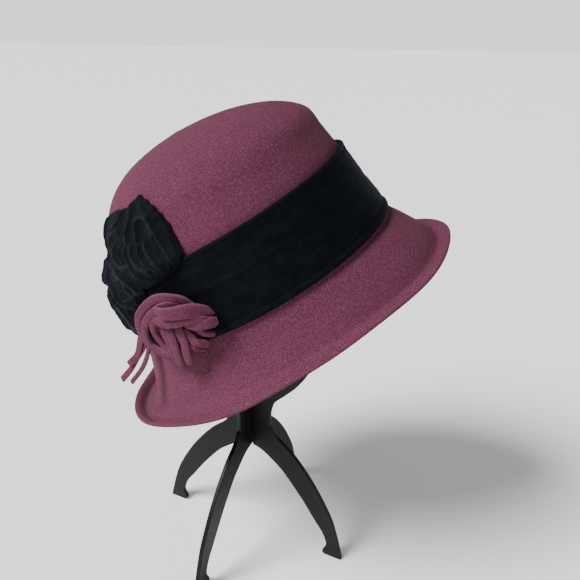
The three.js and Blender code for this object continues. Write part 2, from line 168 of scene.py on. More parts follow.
def makePiece(name, grids, material, node, closedRows=False, painted_highlights=None):
    # each grid is rows x columns x 3; its rows are rings, and the first and last are filled unless they join
    # the last list holds how much painted highlight each point gets, from 0 to 1, for the material
    points, loops, starts = [], [], []
    offset = 0
    loopCount = 0
    for grid in grids:
        rows, columns = grid.shape[:2]
        row = np.arange(rows if closedRows else rows - 1)[:, None]
        column = np.arange(columns)[None, :]
        nextRow = (row + 1) % rows
        nextColumn = (column + 1) % columns
        low, high = row * columns, nextRow * columns
        quads = np.stack([low + column, low + nextColumn, high + nextColumn, high + column], -1)
        quads = quads.reshape(-1, 4)
        points.append(grid.reshape(-1, 3))
        loops.append(quads.ravel() + offset)
        starts.append(loopCount + 4 * np.arange(len(quads)))
        loopCount += quads.size
        if not closedRows:
            for end in (np.arange(columns)[::-1], np.arange(columns) + (rows - 1) * columns):
                loops.append(end + offset)
                starts.append(np.array([loopCount]))
                loopCount += columns
        offset += rows * columns
    points = np.vstack(points)
    loops = np.concatenate(loops)
    starts = np.concatenate(starts)
    mesh = bpy.data.meshes.new(name)
    mesh.vertices.add(len(points))
    mesh.vertices.foreach_set("co", points.astype(np.float32).ravel())
    mesh.loops.add(len(loops))
    mesh.loops.foreach_set("vertex_index", loops.astype(np.int32))
    mesh.polygons.add(len(starts))
    mesh.polygons.foreach_set("loop_start", starts.astype(np.int32))
    mesh.update(calc_edges=True)
    mesh.polygons.foreach_set("use_smooth", np.ones(len(starts), bool))
    if painted_highlights is not None:
        # the attribute carries the painted highlight
        layer = mesh.attributes.new("painted_highlight", "FLOAT", "POINT")
        values = np.concatenate([painted_highlight.ravel() for painted_highlight in painted_highlights])
        layer.data.foreach_set("value", values.astype(np.float32))
    mesh.materials.append(material)
    item = bpy.data.objects.new(name, mesh)
    bpy.context.scene.collection.objects.link(item)
    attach(item, "root")
    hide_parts(node)
    print(name, "made with", len(starts), "faces")


# Materials
def newMaterial(name):
    # a plain material, its node tree and its shader
    material = bpy.data.materials.new(name)
    material.use_nodes = True
    tree = material.node_tree
    return material, tree, tree.nodes["Principled BSDF"]


def setNap(shader, cloth):
    # a dull surface whose raised fibres catch light at a grazing angle
    shader.inputs["Roughness"].default_value = cloth["roughness"]
    shader.inputs["Specular IOR Level"].default_value = cloth["gloss"]
    shader.inputs["Sheen Weight"].default_value = cloth["sheen"]
    shader.inputs["Sheen Roughness"].default_value = cloth["sheenSpread"]
    shader.inputs["Sheen Tint"].default_value = (*cloth["sheenTint"], 1)


def addNoise(tree, scale, detail, roughness=0.6):
    # fractal noise in the piece's own coordinates, one unit a metre
    coordinates = tree.nodes.new("ShaderNodeTexCoord")
    noise = tree.nodes.new("ShaderNodeTexNoise")
    noise.inputs["Scale"].default_value = scale
    noise.inputs["Detail"].default_value = detail
    noise.inputs["Roughness"].default_value = roughness
    tree.links.new(coordinates.outputs["Object"], noise.inputs["Vector"])
    return noise.outputs["Fac"]


def addRamp(tree, source, stops):
    # stops are pairs of a place from 0 to 1 and a colour
    stops = list(stops)
    ramp = tree.nodes.new("ShaderNodeValToRGB")
    while len(ramp.color_ramp.elements) < len(stops):
        ramp.color_ramp.elements.new(0.5)
    for element, (place, colour) in zip(ramp.color_ramp.elements, stops):
        element.position = place
        element.color = (*colour, 1)
    tree.links.new(source, ramp.inputs["Fac"])
    return ramp.outputs["Color"]


def mixColours(tree, mode, share, first, second):
    # the share of the second colour laid over the first one
    mix = tree.nodes.new("ShaderNodeMix")
    mix.data_type = "RGBA"
    mix.blend_type = mode
    mix.inputs["Factor"].default_value = share
    tree.links.new(first, mix.inputs["A"])
    tree.links.new(second, mix.inputs["B"])
    return mix.outputs["Result"]


def addPaintedHighlight(tree, under, colour):
    # the piece's own attribute value blends its colour towards a lighter one, a painted highlight on ridges and
    # edges
    painted_highlight = tree.nodes.new("ShaderNodeAttribute")
    painted_highlight.attribute_name = "painted_highlight"
    light = tree.nodes.new("ShaderNodeRGB")
    light.outputs[0].default_value = (*colour, 1)
    mix = tree.nodes.new("ShaderNodeMix")
    mix.data_type = "RGBA"
    tree.links.new(painted_highlight.outputs["Fac"], mix.inputs["Factor"])
    tree.links.new(under, mix.inputs["A"])
    tree.links.new(light.outputs[0], mix.inputs["B"])
    return mix.outputs["Result"]


def addBump(tree, shader, source, strength, distance, under=None):
    # relief from a value, added to the relief under it if there is one
    bump = tree.nodes.new("ShaderNodeBump")
    bump.inputs["Strength"].default_value = strength
    bump.inputs["Distance"].default_value = distance
    tree.links.new(source, bump.inputs["Height"])
    if under is not None:
        tree.links.new(under, bump.inputs["Normal"])
    tree.links.new(bump.outputs["Normal"], shader.inputs["Normal"])
    return bump.outputs["Normal"]


felt = {
    "mottle": ((0.076, 0.018, 0.037), (0.1, 0.025, 0.05)),
    "mottleScale": 60,
    "mottleRelief": (0.25, 0.0015),
    "fibres": ((0.036, 0.008, 0.018), (0.09, 0.0215, 0.044), (0.24, 0.074, 0.13)),
    "fibreScale": 1000,
    "fibreShare": 0.8,
    "fibreRelief": (0.5, 0.0006),
    # colour of the painted highlight on the lit edges of the strips
    "edge": (0.27, 0.1, 0.16),
    "roughness": 0.95,
    "gloss": 0.15,
    "sheen": 0.03,
    "sheenSpread": 0.6,
    "sheenTint": (0.75, 0.45, 0.58),
}


def makeFelt():
    # burgundy wool felt: mottled ground, fine light fibres, a soft nap and a painted highlight on the edges of
    # its strips
    material, tree, shader = newMaterial("wool_felt")
    mottle = addNoise(tree, felt["mottleScale"], 5)
    fibres = addNoise(tree, felt["fibreScale"], 6, 0.8)
    ground = addRamp(tree, mottle, zip((0.3, 0.7), felt["mottle"]))
    speckle = addRamp(tree, fibres, zip((0.33, 0.5, 0.72), felt["fibres"]))
    # painted highlight on the edges of the strips
    colour = addPaintedHighlight(tree, mixColours(tree, "MIX", felt["fibreShare"], ground, speckle), felt["edge"])
    tree.links.new(colour, shader.inputs["Base Color"])
    setNap(shader, felt)
    first = addBump(tree, shader, fibres, *felt["fibreRelief"])
    addBump(tree, shader, mottle, *felt["mottleRelief"], first)
    return material


velvet = {
    "crush": ((0.0012, 0.0019, 0.0036), (0.0042, 0.006, 0.0098)),
    "crushScale": 120,
    "crushRelief": (0.25, 0.001),
    "pile": ((0.4, 0.4, 0.4), (1, 1, 1)),
    "pileScale": 1500,
    "pileRelief": (0.4, 0.0004),
    # colour of the painted highlight on crushed ridges, folds and edges
    "painted_highlight": (0.026, 0.031, 0.04),
    "roughness": 0.85,
    "gloss": 0.07,
    "sheen": 0.055,
    "sheenSpread": 0.35,
    "sheenTint": (0.5, 0.6, 0.75),
}


def makeVelvet():
    # blue-black velvet: nearly black pile that greys where it turns away, and a painted highlight on crushed
    # ridges
    material, tree, shader = newMaterial("velvet_pile")
    crush = addNoise(tree, velvet["crushScale"], 5)
    pile = addNoise(tree, velvet["pileScale"], 4, 0.7)
    ground = addRamp(tree, crush, zip((0.35, 0.75), velvet["crush"]))
    grain = addRamp(tree, pile, zip((0.3, 0.7), velvet["pile"]))
    # painted highlight on ridges, folds and edges
    ground = addPaintedHighlight(tree, ground, velvet["painted_highlight"])
    tree.links.new(mixColours(tree, "MULTIPLY", 1, ground, grain), shader.inputs["Base Color"])
    setNap(shader, velvet)
    first = addBump(tree, shader, pile, *velvet["pileRelief"])
    addBump(tree, shader, crush, *velvet["crushRelief"], first)
    return material


plastic = {
    "tints": ((0.0011, 0.0012, 0.0019), (0.0028, 0.003, 0.004)),
    "wearScale": 35,
    "roughness": (0.34, 0.54),
    "gloss": 0.2,
    "grainScale": 1400,
    "grainRelief": (0.12, 0.0003),
}


def makePlastic():
    # matte moulded plastic with a faint grain and slightly polished patches
    material, tree, shader = newMaterial("black_plastic")
    grain = addNoise(tree, plastic["grainScale"], 3)
    wear = addNoise(tree, plastic["wearScale"], 4)
    tint = addRamp(tree, wear, zip((0.3, 0.8), plastic["tints"]))
    tree.links.new(tint, shader.inputs["Base Color"])
    spread = tree.nodes.new("ShaderNodeMapRange")
    spread.inputs["To Min"].default_value, spread.inputs["To Max"].default_value = plastic["roughness"]
    tree.links.new(wear, spread.inputs["Value"])
    tree.links.new(spread.outputs["Result"], shader.inputs["Roughness"])
    shader.inputs["Specular IOR Level"].default_value = plastic["gloss"]
    addBump(tree, shader, grain, *plastic["grainRelief"])
    return material


feltMaterial = makeFelt()
velvetMaterial = makeVelvet()
plasticMaterial = makePlastic()
print("materials made")

# Hat: sizes in metres along its own axes, x to the front, z up the crown from the band's lower edge
hat = {
    "halfLength": 0.1025,
    "halfWidth": 0.08675,
    "crown": 0.115,
    "wall": 0.0025,
    "foldReach": (0.0235, 0.0155, 0.0215),  # front, side, back
    "foldDrop": (0.0317, 0.0345, 0.0469),
    "lipReach": (0.0057, 0.0072, 0.0179),
    "lipRise": (0.0023, -0.0047, 0.0037),
    "bulge": (0.003, -0.0015, 0),  # swelling half way down the bell
    "trough": (0.0003, 0.0007, 0.0048),  # depth of the lip's groove
    "bandLift": (0.003, 0, 0),
    "slim": 0.003,  # how much narrower the brim is between the front and the sides
    "frontRaise": 29.1,
    "sideLean": 6.7,
    "place": (0.0075, 0.0074, 0.2326),  # middle of the band's lower edge, from the foot of the stand's axis
}
crownRows = [  # height, reach and shift to the front, in shares of the crown's height and the hat's half length
    (0, 1, 0),
    (0.2, 0.97, -0.021),
    (0.45, 0.934, -0.029),
    (0.62, 0.856, 0.01),
    (0.76, 0.781, 0.046),
    (0.87, 0.637, 0.034),
    (0.945, 0.441, 0.008),
    (0.985, 0.22, -0.003),
    (1, 0, -0.015),
]
brimRows = [  # shares of the bell's reach and drop, then of the lip's reach and rise
    (0, 0, 0, 0),
    (0.14, 0.17, 0, 0),
    (0.32, 0.4, 0, 0),
    (0.54, 0.64, 0, 0),
    (0.76, 0.86, 0, 0),
    (0.9, 0.97, 0, 0),
    (1, 1, 0.14, 0.02),
    (1, 1, 0.4, 0.2),
    (1, 1, 0.7, 0.58),
    (1, 1, 1, 1),
]
crownCurve = smoothRows(crownRows, 400)
bellCurve = smoothRows(brimRows[:6], 60)
tilt = radians(-hat["frontRaise"])
lean = radians(hat["sideLean"])
tiltTurn = np.array([[cos(tilt), 0, sin(tilt)], [0, 1, 0], [-sin(tilt), 0, cos(tilt)]])
leanTurn = np.array([[1, 0, 0], [0, cos(lean), -sin(lean)], [0, sin(lean), cos(lean)]])
hatTurn = tiltTurn @ leanTurn


def around(sizes, turn):
    # a size given at the front, side and back, blended round the hat
    front, side, back = sizes
    ends = (front + back) / 2
    return (ends + side) / 2 + (front - back) / 2 * np.cos(turn) + (ends - side) / 2 * np.cos(2 * turn)


def ovalPoint(turn, reachX, reachY, shift, level):
    # (shift + reachX cos turn, reachY sin turn, level)
    return np.stack(np.broadcast_arrays(shift + reachX * np.cos(turn), reachY * np.sin(turn), level), -1)


def crownPoint(turn, share):
    # share holds height, reach and shift, as the crown's rows do
    height, reach, shift = share[..., 0], share[..., 1], share[..., 2]
    reachX, reachY = hat["halfLength"] * reach, hat["halfWidth"] * reach
    return ovalPoint(turn, reachX, reachY, hat["halfLength"] * shift, hat["crown"] * height)


def bellReach(turn, bell, fall):
    # bell (reach - slim) + 4 bulge fall (1 - fall), where slim goes with cos turn sin^2 turn, at most 1 / 2.6
    slim = hat["slim"] * 2.6 * np.clip(np.cos(turn), 0, 1) * np.sin(turn) ** 2
    return bell * (around(hat["foldReach"], turn) - slim) + 4 * around(hat["bulge"], turn) * fall * (1 - fall)


def skinAt(turn, level):
    # the felt's outer face by turn and level above the band's lower edge, down into the bell where negative
    turn, level = np.broadcast_arrays(turn, level)
    height = np.clip(level, 0, None) / hat["crown"]
    share = np.stack([np.interp(height, crownCurve[:, 0], crownCurve[:, k]) for k in range(3)], -1)
    crown = crownPoint(turn, share)
    fall = np.clip(-level, 0, None) / around(hat["foldDrop"], turn)
    out = bellReach(turn, np.interp(fall, bellCurve[:, 1], bellCurve[:, 0]), fall)
    bell = ovalPoint(turn, hat["halfLength"] + out, hat["halfWidth"] + out, 0, level)
    return np.where((level >= 0)[..., None], crown, bell)


def skinNormal(turn, level):
    # the cross product of small steps round the hat and up it
    along = skinAt(turn + 0.02, level) - skinAt(turn - 0.02, level)
    up = skinAt(turn, level + 0.001) - skinAt(turn, level - 0.001)
    return unit(np.cross(along, up))


def lifted(turn, level, offset):
    # a point so far off the felt along its normal
    return skinAt(turn, level) + skinNormal(turn, level) * np.asarray(offset)[..., None]


# Felt hood: an outer sheet, its inner face one wall in, and a half-round edge between them
hood = {
    "turns": 288,
    "dent": 0.0005,
    "waver": 0.0009,
    "groove": (0.62, 0.17),  # place and width, in shares of the lip
    "crease": 0.0012,
    "creaseTurn": -168,
    "creaseWidth": 0.12,
}


def makeHoodGrid():
    turn = np.linspace(0, 2 * pi, hood["turns"], endpoint=False)[None, :]
    brim = smoothRows(brimRows, 64)[::-1, None, :]
    out = bellReach(turn, brim[..., 0], brim[..., 1]) + brim[..., 2] * around(hat["lipReach"], turn)
    drop = brim[..., 1] * around(hat["foldDrop"], turn) - brim[..., 3] * around(hat["lipRise"], turn)
    # the lip is pressed into a groove, deepest at the back: trough exp(-((lip - place) / width)^2)
    place, width = hood["groove"]
    drop = drop + around(hat["trough"], turn) * np.exp(-(((brim[..., 2] - place) / width) ** 2))
    waver = hood["waver"] * brim[..., 2] * (np.sin(5 * turn + 0.6) + 0.6 * np.sin(9 * turn + 2))
    # the lip's edge is pinched into a short crease at the back, on the side of the rosette
    away = np.angle(np.exp(1j * (turn - radians(hood["creaseTurn"]))))
    crease = hood["crease"] * brim[..., 2] * np.exp(-((away / hood["creaseWidth"]) ** 2))
    reachX, reachY = hat["halfLength"] + out - crease, hat["halfWidth"] + out - crease
    brimPart = ovalPoint(turn, reachX, reachY, 0, waver + crease - drop)
    # the crown's rows lie closer towards the top, and a small disc closes it
    steps = 1 - (1 - np.linspace(0, 1, 90)) ** 1.3
    share = smoothRows(crownRows, 600)[(steps * 596).astype(int)][1:, None, :]
    outer = np.concatenate([brimPart, crownPoint(turn, share)])
    along = np.roll(outer, -1, 1) - np.roll(outer, 1, 1)
    up = np.gradient(outer, axis=0)
    normal = unit(np.cross(along, up))
    level = outer[..., 2]
    # the crown has shallow dents, none at its foot and top
    dents = wobble(turn * 2.2, level / 0.05, 3) * np.sin(pi * np.clip(level / hat["crown"], 0, 1))
    outer = outer + normal * (hood["dent"] * dents)[..., None]
    inner = outer - normal * hat["wall"]
    middle = (outer[0] + inner[0]) / 2
    half = (outer[0] - inner[0]) / 2
    outwards = unit(outer[0] - outer[1]) * hat["wall"] / 2
    angles = np.linspace(-pi / 2, pi / 2, 9)[1:-1, None, None]
    edge = middle + half * np.sin(angles) + outwards * np.cos(angles)
    return np.concatenate([inner[::-1], edge, outer])


def toFrame(points):
    return points @ hatTurn.T + hatMiddle


hatMiddle = standAxis + hat["place"]
makePiece("hood_felt", [toFrame(makeHoodGrid())], feltMaterial, "felt_hood")

# Velvet band: a closed section of rolled edges, seam grooves and pleats, carried round the crown
band = {
    "width": 0.053,
    "thickness": 0.002,
    "gap": 0.0003,
    "turns": 420,
    "wrinkle": 0.0003,
    "edgeWrinkle": 0.0002,
    "fold": 0.0011,
    "foldFade": 0.009,
    "lap": (0.52, 0.065, 0.006),  # place of the fold up the band, how far it slopes and how far it wavers
    # painted highlight: how much lighter the pile is painted on the fold and on the upper and lower edge
    "painted_highlight": (0.22, 0.12, 0.08),  # lightness of the fold and of the upper and lower edge
    "paintedHighlightWidth": 0.0011,
}
bandRows = [  # rise up the band's width, and distance off the felt in thicknesses
    (0.006, 0.1),
    (0.008, 0.8),
    (0.02, 1.1),
    (0.05, 1.25),
    (0.085, 1.05),
    (0.1, 0.85),
    (0.13, 1.05),
    (0.28, 1.3),
    (0.5, 1.05),
    (0.68, 1.1),
    (0.86, 1.05),
    (0.92, 1.2),
    (0.935, 1.15),
    (0.965, 1.5),
    (0.99, 1.4),
    (1.0, 0.9),
    (0.995, 0.1),
]


def makeBandGrid():
    # the section's rows swept round the hat: gap + swell thickness off the felt, with wrinkles and one fold
    turn = -np.linspace(0, 2 * pi, band["turns"], endpoint=False)[:, None]
    front = smoothRows(bandRows, 130)[None, :, :]
    rise = front[..., 0]
    isFront = front[..., 1] > 0.6
    face = smoothStep(0.1, 0.2, rise) * smoothStep(0.95, 0.85, rise) * isFront
    wrinkles = wobble(turn * 2.4, rise * 7, 11, 7) * band["wrinkle"]
    # a lengthwise fold: the upper half laps over the lower one and its edge stands proud, dying away upwards
    place, slope, wave = band["lap"]
    lap = place + slope * np.cos(turn + radians(82)) + wave * np.sin(5 * turn)
    away = (rise - lap) * band["width"]
    near = smoothStep(0.5, 0.95, np.abs(np.sin(turn)))
    fade = np.exp(-np.maximum(away, 0) / band["foldFade"])
    fold = near * smoothStep(-0.0007, 0.0007, away) * fade * band["fold"]
    offset = band["gap"] + front[..., 1] * band["thickness"] + face * (wrinkles + fold)
    offset = offset + (1 - face) * isFront * wobble(turn * 14, rise * 3, 12) * band["edgeWrinkle"]
    foot = around(hat["bandLift"], turn)
    outer = lifted(turn, foot + rise * band["width"], offset)
    patches = 0.6 + 0.4 * wobble(turn * 5, rise * 4, 14)
    # painted highlight: the pile is painted lighter on the fold and, in patches, on both edges
    onFold, onTop, onFoot = band["painted_highlight"]
    painted_highlight = face * near * onFold * np.exp(-((away / band["paintedHighlightWidth"]) ** 2))
    painted_highlight = painted_highlight + onTop * smoothStep(0.9, 0.98, rise) * isFront * patches
    painted_highlight = painted_highlight + onFoot * smoothStep(0.07, 0.04, rise) * isFront * patches
    back = np.linspace(0.97, 0.03, 8)[None, :]
    inner = lifted(turn, foot + back * band["width"], np.full((1, 8), band["gap"]))
    return np.concatenate([outer, inner], 1), np.concatenate([painted_highlight, np.zeros(inner.shape[:2])], 1)


bandGrid, bandPaintedHighlight = makeBandGrid()
makePiece("band_velvet", [toFrame(bandGrid)], velvetMaterial, "velvet_band", True, [bandPaintedHighlight])


def bandTop(level):
    # how far what lies on the hat stands off the felt at a level: over the band, and down to the felt past it
    full = band["gap"] + 1.35 * band["thickness"]
    above = smoothStep(band["width"] + 0.001, band["width"] + 0.009, level)
    below = smoothStep(-0.001, 0.005, -level)
    return full * (1 - np.maximum(above, below)) + 0.0006


def arcAt(turn, level):
    # radius of the circle whose chord over one radian is that of the hat
    ends = skinAt(np.array([turn - 0.5, turn + 0.5]), np.array([level, level]))
    return np.linalg.norm(ends[1] - ends[0]) / (2 * sin(0.5))


# Rosette: ruched leaves drawn on the felt by their outlines, in shares of the span along and the height up
rosette = {
    "turn": -118,
    "foot": 0.043,
    "span": 0.1,
    "height": 0.056,
    "ruffle": 0.014,
    "ruffleLength": 0.0095,
    "pucker": 0.00042,
    "puckerSizes": ((0.0065, 0.009), (0.003, 0.004)),  # along and up, of the broad and the fine ones
    "around": 260,
    "rings": 100,
}
leaves = {  # lift, thickness and outline of each leaf of a lobe
    "rosette_top": [
        (0, 0.0048, [
            (0.19, 0.92), (0.26, 0.85), (0.335, 0.745), (0.392, 0.63), (0.432, 0.515), (0.46, 0.374),
            (0.484, 0.227), (0.44, 0.13), (0.34, 0.07), (0.2, 0.03), (0.05, 0.04), (-0.1, 0.1), (-0.22, 0.2),
            (-0.33, 0.46), (-0.42, 0.68), (-0.37, 0.84), (-0.18, 0.88), (0.03, 0.865), (0.12, 0.9),
        ]),
        (0.0026, 0.0032, [
            (0.065, 0.5), (0.14, 0.485), (0.24, 0.465), (0.31, 0.37), (0.38, 0.25), (0.4, 0.13), (0.3, 0.11),
            (0.19, 0.14), (0.1, 0.21), (0.04, 0.34),
        ]),
        (0.0024, 0.003, [
            (-0.16, 0.5), (-0.06, 0.5), (0.03, 0.47), (0.06, 0.37), (0.11, 0.25), (0.05, 0.19),
            (-0.06, 0.19), (-0.16, 0.27), (-0.2, 0.39),
        ]),
    ],
    "rosette_side": [
        (0, 0.0032, [
            (-0.2, 0.45), (-0.19, 0.3), (-0.26, 0.17), (-0.44, 0.14), (-0.54, 0.26), (-0.46, 0.45),
            (-0.33, 0.5),
        ]),
    ],
    "rosette_low": [
        (0, 0.0044, [
            (0.0, 0.2), (0.1, 0.1), (0.1, -0.08), (0.03, -0.28), (-0.05, -0.44), (-0.13, -0.54),
            (-0.24, -0.53), (-0.36, -0.55), (-0.5, -0.47), (-0.6, -0.26), (-0.56, -0.06), (-0.4, 0.1),
            (-0.25, 0.22), (-0.12, 0.25),
        ]),
        (0.0022, 0.003, [
            (-0.3, 0.1), (-0.2, 0.12), (-0.08, 0.06), (0.03, 0.02), (0.06, -0.06), (-0.02, -0.14),
            (-0.13, -0.16), (-0.25, -0.1), (-0.33, 0),
        ]),
    ],
}
ridges = [  # height, width, then across and up for each point
    (0.0024, 0.0019, [
        (0.16, 0.52), (0.158, 0.61), (0.175, 0.69), (0.215, 0.71), (0.26, 0.68), (0.29, 0.6), (0.3, 0.5),
    ]),
    (0.0015, 0.002, [(0.3, 0.776), (0.374, 0.629), (0.412, 0.497), (0.432, 0.356), (0.456, 0.236)]),
    (0.0013, 0.0011, [(0.077, 0.478), (0.141, 0.466), (0.191, 0.463), (0.237, 0.445)]),
    (0.0018, 0.0018, [(-0.25, 0.56), (-0.19, 0.62), (-0.127, 0.665), (-0.061, 0.671)]),
    (0.0022, 0.0018, [(0.085, 0.467), (0.103, 0.377), (0.149, 0.293), (0.254, 0.191)]),
    (0.002, 0.0018, [(0.235, 0.437), (0.26, 0.338), (0.31, 0.236), (0.344, 0.164)]),
    (0.0019, 0.0018, [(0.31, 0.545), (0.352, 0.401), (0.386, 0.284), (0.428, 0.152)]),
    (0.0017, 0.0014, [(0.17, 0.44), (0.19, 0.33), (0.24, 0.25), (0.31, 0.17)]),
    (0.0022, 0.002, [(-0.145, 0.5), (-0.097, 0.38), (-0.017, 0.311), (0.057, 0.293)]),
    (0.0019, 0.0017, [(0.017, 0.476), (0.035, 0.371), (0.095, 0.266), (0.165, 0.164)]),
    (0.0016, 0.0014, [(-0.06, 0.48), (-0.04, 0.4), (0.01, 0.35)]),
    (0.0022, 0.002, [(-0.22, 0.38), (-0.133, 0.329), (-0.023, 0.227), (0.037, 0.115), (0.077, 0.001)]),
    (0.002, 0.0017, [(-0.28, 0.22), (-0.193, 0.133), (-0.159, 0.016), (-0.105, -0.077), (-0.017, -0.119)]),
    (0.0018, 0.0016, [(-0.109, 0.046), (-0.063, -0.008), (0.011, -0.002), (0.055, 0.019)]),
    (0.002, 0.0018, [(-0.3, 0.1), (-0.237, -0.017), (-0.205, -0.176), (-0.173, -0.36)]),
    (0.0017, 0.0016, [(-0.14, -0.12), (-0.12, -0.25), (-0.09, -0.4)]),
    (0.0018, 0.0018, [(-0.02, 0.1), (0.03, -0.03), (0.03, -0.16)]),
    (0.002, 0.002, [(-0.3, 0.82), (-0.36, 0.66), (-0.31, 0.48), (-0.24, 0.32)]),
    (0.0018, 0.0018, [(-0.02, 0.84), (-0.07, 0.75), (-0.17, 0.71)]),
    (0.0018, 0.0018, [(0.1, 0.86), (0.11, 0.76), (0.06, 0.66), (0.05, 0.56)]),
    (0.0016, 0.0018, [(0.22, 0.82), (0.25, 0.74), (0.33, 0.66)]),
    (0.0016, 0.0018, [(-0.47, 0.4), (-0.45, 0.28), (-0.36, 0.18)]),
    (0.0014, 0.0016, [(-0.33, 0.46), (-0.3, 0.34), (-0.27, 0.22)]),
    (0.0019, 0.002, [(-0.42, 0.04), (-0.4, -0.18), (-0.33, -0.4)]),
    (0.0018, 0.0018, [(-0.54, -0.08), (-0.49, -0.25), (-0.42, -0.44)]),
]


def ruching(across, up):
    # root of the sum of squares of all ridges, each height exp(-(d / width)^1.5) at distance d from its line
    total = np.zeros(across.shape)
    for height, width, rows in ridges:
        line = smoothRows(rows, 5 * len(rows)) * [rosette["span"], rosette["height"]]
        starts, steps = line[:-1, None, None], np.diff(line, axis=0)[:, None, None]
        spot = np.stack([across, up], -1)[None]
        share = np.clip(((spot - starts) * steps).sum(-1) / (steps**2).sum(-1), 0, 1)
        near = np.linalg.norm(spot - starts - share[..., None] * steps, axis=-1).min(0)
        total = total + (height * np.exp(-((near / width) ** 1.5))) ** 2
    return np.sqrt(total)


def puckering(across, up, seed):
    # broad puckers, and fine ones half as high
    (broadX, broadY), (fineX, fineY) = rosette["puckerSizes"]
    broad = wobble(across / broadX, up / broadY, seed, 8)
    return rosette["pucker"] * (broad + 0.5 * wobble(across / fineX, up / fineY, seed + 1, 8))


def makeLeaf(lift, thickness, rows, seed):
    # rings that shrink from the outline to the middle, first under the leaf and then over it; over it the leaf
    # rises as (1 - share^4)^0.5 with the ridges and puckers on top
    middleTurn = radians(rosette["turn"])
    arc = arcAt(middleTurn, rosette["foot"])
    rows = [(across * rosette["span"], up * rosette["height"]) for across, up in rows]
    line = smoothRows(rows[-2:] + rows + rows[:3], 2400)
    share = np.linspace(2, 2 + len(rows), rosette["around"], endpoint=False) / (len(rows) + 4)
    outline = line[(share * 2399).astype(int)][::-1]
    along = np.cumsum(np.linalg.norm(np.roll(outline, -1, 0) - outline, axis=1))
    waves = round(along[-1] / rosette["ruffleLength"])
    phase = 2 * pi * waves * along / along[-1]
    centre = outline.mean(0)
    # the edge ruffles in waves of uneven length and height
    ruffle = np.sin(phase + 2.2 * np.sin(phase * 3 / waves + seed))
    ruffle = ruffle * (0.65 + 0.5 * np.sin(phase * 2 / waves + 2 * seed))
    ruffle = 1 + rosette["ruffle"] * ruffle[:, None]
    outline = centre + (outline - centre) * ruffle
    under = np.concatenate([np.linspace(0.02, 0.97, 20), np.linspace(0.985, 1, 3)])
    over = 1 - np.linspace(0, 0.985, rosette["rings"]) ** 1.15
    stack = np.concatenate([under, over])[:, None]
    isOver = np.concatenate([np.zeros(len(under)), np.ones(len(over))])[:, None]
    spot = centre + (outline - centre) * stack[..., None]
    across, up = spot[..., 0], spot[..., 1]
    dome = (1 - stack**4) ** 0.5
    folds = ruching(across, up)
    puckers = puckering(across, up, seed)
    inside = smoothStep(1, 0.88, stack)
    rise = isOver * ((thickness - 0.001) * dome + inside * (folds + puckers) - 0.0006 * inside)
    level = rosette["foot"] + up
    # painted highlight: the pile is painted lighter, in patches, where the ridges are high, and a little
    # lighter in random clouds all over
    patches = 0.55 + 0.45 * wobble(across / 0.004, up / 0.004, seed + 2, 8)
    painted_highlight = smoothStep(0.0012, 0.0024, folds + 0.7 * puckers) * patches
    clouds = 0.1 * wobble(across / 0.007, up / 0.007, seed + 3, 7)
    painted_highlight = isOver * np.clip(0.75 * painted_highlight * inside + 0.06 + clouds, 0, 1)
    return lifted(middleTurn + across / arc, level, bandTop(level) + lift + rise), painted_highlight


for number, (name, rows) in enumerate(leaves.items()):
    made = [makeLeaf(*leaf, 20 + 10 * number + 3 * place) for place, leaf in enumerate(rows)]
    grids, painted_highlights = [toFrame(grid) for grid, _ in made], [painted_highlight for _, painted_highlight in made]
    makePiece(name + "_velvet", grids, velvetMaterial, name, painted_highlights=painted_highlights)

